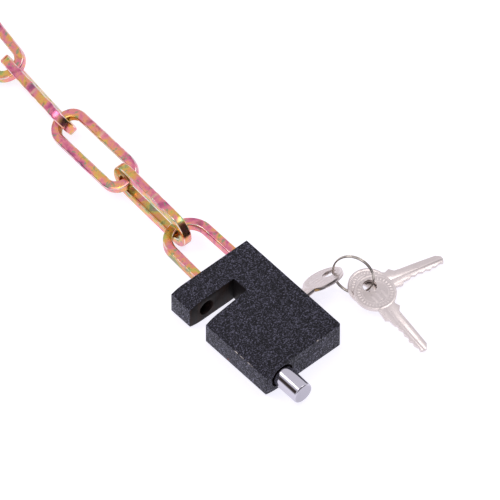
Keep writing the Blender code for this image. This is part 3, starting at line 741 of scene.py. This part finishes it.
def medallion(side, around=224, out=26):
    """A thin stamped plate on one face of the bow, between the key's hole and the rim."""
    surface = KEY_T / 2
    inside, outside = KEY_HOLE_R + PLATE_MARGIN_HOLE, BOW_R - PLATE_MARGIN_RIM
    top, base, recesses = [], [], []
    for j in range(out + 1):
        t = j / out
        row_top, row_base = [], []
        for i in range(around):
            a = 2 * math.pi * i / around
            hole = (KEY_HOLE_U + inside * math.cos(a), inside * math.sin(a))
            rim = (outside * math.cos(a), outside * math.sin(a))
            x, y = (h + (e - h) * t for h, e in zip(hole, rim))
            lift = 0.0 if j in (0, out) else key_relief(x, y)
            row_top.append((x, y, side * (surface + PLATE_LIFT + lift)))
            row_base.append((x, y, side * (surface - PLATE_SINK)))
            recesses.append(0.0 if j in (0, out) else 1.0 - min(1.0, lift / DARKEN_BELOW))
        top.append(row_top)
        base.append(row_base)
    return loft(top + base[::-1], closed=True), recesses + [0.0] * len(recesses)


def key_plate(name):
    """The key's blank: bow with its hole, neck and cut blade."""
    data = bpy.data.curves.new(name, "CURVE")
    data.dimensions = "2D"
    data.fill_mode = "BOTH"
    data.extrude = KEY_T / 2 * MM
    start, end = NECK_ANGLES
    angles = [math.radians(start + (end - start) * i / 96) for i in range(97)]
    bow = [(BOW_R * math.cos(a), BOW_R * math.sin(a)) for a in angles]
    hole = [(KEY_HOLE_U + KEY_HOLE_R * math.cos(a), KEY_HOLE_R * math.sin(a))
            for a in (2 * math.pi * i / 64 for i in range(64))]
    for points in (bow + BITTING[::-1] + BACK_EDGE[::-1], hole):
        spline = data.splines.new("POLY")
        spline.points.add(len(points) - 1)
        spline.use_cyclic_u = True
        for point, (x, y) in zip(spline.points, points):
            point.co = (x * MM, y * MM, 0, 1)
    outline = put(bpy.data.objects.new(name + "_outline", data))
    bpy.context.view_layer.update()
    mesh = bpy.data.meshes.new_from_object(outline.evaluated_get(bpy.context.evaluated_depsgraph_get()))
    bpy.data.objects.remove(outline)
    bm = bmesh.new()
    bm.from_mesh(mesh)
    bmesh.ops.remove_doubles(bm, verts=bm.verts, dist=0.005 * MM)
    bmesh.ops.dissolve_limit(bm, angle_limit=math.radians(0.5), verts=bm.verts, edges=bm.edges)
    bmesh.ops.recalc_face_normals(bm, faces=bm.faces)
    bm.to_mesh(mesh)
    bm.free()
    return put(bpy.data.objects.new(name, mesh))


def make_key(name, matrix, finish, body, node):
    key = key_plate(name)
    surface = KEY_T / 2
    for side in (1, -1):
        groove = [(-1.9, surface + OVER), (-1.75, surface - 0.3),
                  (-0.6, surface + 0.2), (-0.6, surface + OVER)]
        cut(key, loft([[(x, y, side * z) for y, z in groove] for x in (GROOVE_FROM_X, PAST_TIP_X)]))
        low, high = sorted((side * (surface - MILLED_DEPTH), side * (surface + OVER)))
        cut(key, block((MILLED_FROM_X, MILLED_Y[0], low), (PAST_TIP_X, MILLED_Y[1], high)))
    settle(key, KEY_EDGE_R, 2, 30)
    point_values(key.data, "recess", [0.0] * len(key.data.vertices))
    faces = []
    for side in (1, -1):
        shape, recesses = medallion(side)
        face = mesh_object(f"{name}_face", shape, None, 60)
        point_values(face.data, "recess", recesses)
        faces.append(face)
    bpy.ops.object.select_all(action="DESELECT")
    for piece in faces + [key]:
        piece.select_set(True)
    bpy.context.view_layer.objects.active = key
    bpy.ops.object.join()
    key.data.materials.clear()
    key.data.materials.append(finish)
    for face in key.data.polygons:
        face.material_index = 0
    matrix = matrix.copy()
    matrix.translation = matrix.translation * MM
    key.data.transform(matrix)
    return stand_for(key, body, "nickel", node)


def posed(x, y, z, yaw, pitch, roll):
    turn = Matrix.Rotation(math.radians(yaw), 4, "Z") @ Matrix.Rotation(math.radians(-pitch), 4, "Y")
    return Matrix.Translation((x, y, z)) @ turn @ Matrix.Rotation(math.radians(roll), 4, "X")


def coil(name, radius, wire, length, turns, steps, matrix, sides):
    """A helix of round wire about Z as a closed tube mesh with tapered ends."""
    count = round(turns * steps)
    rings = []
    for i in range(count + 1):
        angle = 2 * math.pi * i / steps
        z = wire + (length - 2 * wire) * i / count
        edge = min(i, count - i)
        r = wire * min(1.0, 0.55 + 0.15 * edge)
        out = Vector((math.cos(angle), math.sin(angle), 0))
        centre = out * radius + Vector((0, 0, z))
        rings.append([centre + (out * math.cos(b) + Vector((0, 0, 1)) * math.sin(b)) * r
                      for b in (2 * math.pi * k / sides for k in range(sides))])
    tube = mesh_object(name, loft(rings), matrix, 60)
    # painted shade between the turns: the wire's sides that face the next turn get a high 'recess' value,
    # which darkens them
    between = [math.sin(2 * math.pi * k / sides) ** 2 for k in range(sides)]
    point_values(tube.data, "recess", between * len(rings))
    return tube


def make_ring(finish):
    azimuth, elevation = math.radians(RING_AZ), math.radians(RING_EL)
    flat = math.cos(elevation)
    axis = (flat * math.cos(azimuth), flat * math.sin(azimuth), math.sin(elevation))
    length = RING_TURN_PITCH * RING_TURNS + 2 * RING_WIRE_R
    matrix = along(axis, RING_C) @ Matrix.Translation((0, 0, -length / 2))
    ring = coil("ring_coiled", RING_R, RING_WIRE_R, length, RING_TURNS, RING_STEPS, matrix, RING_SIDES)
    ring.data.materials.append(finish)
    settle(ring, angle=60)
    return stand_for(ring, "split_ring", "nickel", "split_ring")


# ---------------------------------------------------------------- room

def make_floor():
    bm = bmesh.new()
    bmesh.ops.create_grid(bm, x_segments=2, y_segments=2, size=FLOOR_HALF)
    floor = mesh_object("floor", bm, Matrix.Translation((0, 0, -FLOOR_DROP)))
    m = Nodes("floor_paper")
    soft = m.noise(6, 2.0)
    colour = m.mix(soft, (0.40, 0.40, 0.41), (0.42, 0.42, 0.425))
    glow = {"Emission_Color": (0.97, 0.955, 1.05, 1), "Emission_Strength": 0.8, "Specular_IOR_Level": 0.0}
    floor.data.materials.append(m.finish(colour, 0.9, 0.0, **glow))


def area_light(name, place, target, size, power, colour):
    data = bpy.data.lights.new(name, "AREA")
    data.shape = "RECTANGLE"
    data.size, data.size_y = size
    data.energy = power
    data.color = colour
    light = put(bpy.data.objects.new(name, data))
    light.visible_camera = False
    light.location = place
    light.rotation_mode = "QUATERNION"
    light.rotation_quaternion = (Vector(place) - Vector(target)).to_track_quat("Z", "Y")


def softbox(name, target, towards, distance, radiance, size, colour):
    """An area light of the given brightness, seen from the target in this direction; lengths in metres."""
    target = Vector(target) * MM
    place = target + Vector(towards).normalized() * distance
    area_light(name, place, target, size, radiance * math.pi * size[0] * size[1], colour)


def make_lights():
    """Two softboxes in a pale room with two dark flags, one low in front and one low at the left."""
    bolt_place = (BOLT_X, -50, MID_Z)
    softbox("key_softbox", bolt_place, (-0.36, 0.47, 0.81), 0.5, 3.6, (0.17, 0.17), (1.0, 0.99, 0.97))
    softbox("top_softbox", (20, 30, 0), (0.36, -0.16, 0.92), 1.3, 2.2, (0.5, 0.5), (1.0, 0.98, 0.95))
    world = bpy.data.worlds.new("studio")
    bpy.context.scene.world = world
    world.use_nodes = True
    tree = world.node_tree
    colour = None
    where = tree.nodes.new("ShaderNodeTexCoord").outputs["Generated"]
    for direction, start, full, shade in FLAGS:
        dot = tree.nodes.new("ShaderNodeVectorMath")
        dot.operation = "DOT_PRODUCT"
        dot.inputs[1].default_value = Vector(direction).normalized()
        tree.links.new(where, dot.inputs[0])
        reach = tree.nodes.new("ShaderNodeMapRange")
        reach.inputs["From Min"].default_value = start
        reach.inputs["From Max"].default_value = full
        tree.links.new(dot.outputs["Value"], reach.inputs["Value"])
        blend = tree.nodes.new("ShaderNodeMix")
        blend.data_type = "RGBA"
        tree.links.new(reach.outputs["Result"], blend.inputs[0])
        if colour is None:
            blend.inputs[6].default_value = (*ROOM_COLOUR, 1)
        else:
            tree.links.new(colour, blend.inputs[6])
        blend.inputs[7].default_value = (*shade, 1)
        colour = blend.outputs[2]
    tree.links.new(colour, tree.nodes["Background"].inputs["Color"])


def make_camera():
    data = bpy.data.cameras.new("camera")
    data.sensor_width = SENSOR
    data.lens = SENSOR * VIEW_DISTANCE / FRAME_WIDTH
    data.clip_start, data.clip_end = CLIP
    camera = put(bpy.data.objects.new("camera", data))
    a, e = math.radians(VIEW_AZIMUTH), math.radians(VIEW_ELEVATION)
    back = Vector((math.sin(a) * math.cos(e), -math.cos(a) * math.cos(e), math.sin(e)))
    camera.location = (Vector(VIEW_TARGET) + back * VIEW_DISTANCE) * MM
    camera.rotation_mode = "QUATERNION"
    camera.rotation_quaternion = (-back).to_track_quat("-Z", "Y")
    bpy.context.scene.camera = camera
    bpy.context.scene.view_settings.view_transform = "Standard"


def finish_inner_nodes(brass, steel):
    """The small pieces inside the lock keep their solids and take a turned or drawn metal finish."""
    slots = {s["node"]: s["material_slot"] for s in frame["record"]["subparts"]}
    for name, obj in frame["nodes"].items():
        material = {"brass": brass, "steel": steel}.get(slots[name])
        if material is not None:
            obj.data.materials.clear()
            obj.data.materials.append(material)


def main():
    make_camera()
    make_floor()
    make_lights()
    plating, brass, steel = colour_plating(), turned_brass(), bright_steel()
    satin = nickel("nickel", (0.66, 0.59, 0.57), (0.76, 0.68, 0.66), 0.24, 0.4, 0.02, 0.22)
    # the ring's strong darkening is painted shade between its turns
    glossy = nickel("ring_nickel", (0.62, 0.56, 0.5), (0.74, 0.68, 0.62), 0.08, 0.18, 0.01, 0.95)
    finish_inner_nodes(brass, steel)
    make_body(black_coat(), bore_wall())
    make_bolt(chrome())
    make_cylinder(brass)
    make_captive(plating)
    make_chain(plating)
    turned_over = Matrix.Translation((KEY_1_X, KEY_AXIS_OFF, 0)) @ Matrix.Rotation(math.pi, 4, "Y")
    in_plug = plug_frame(-TURN) @ turned_over
    make_key("key_1_stamped", in_plug, satin, "key_in_lock", "key_in_lock")
    make_key("key_2_stamped", posed(*KEY_2), satin, "second_key", "second_key")
    make_key("key_3_stamped", posed(*KEY_3), satin, "third_key", "third_key")
    make_ring(glossy)


main()
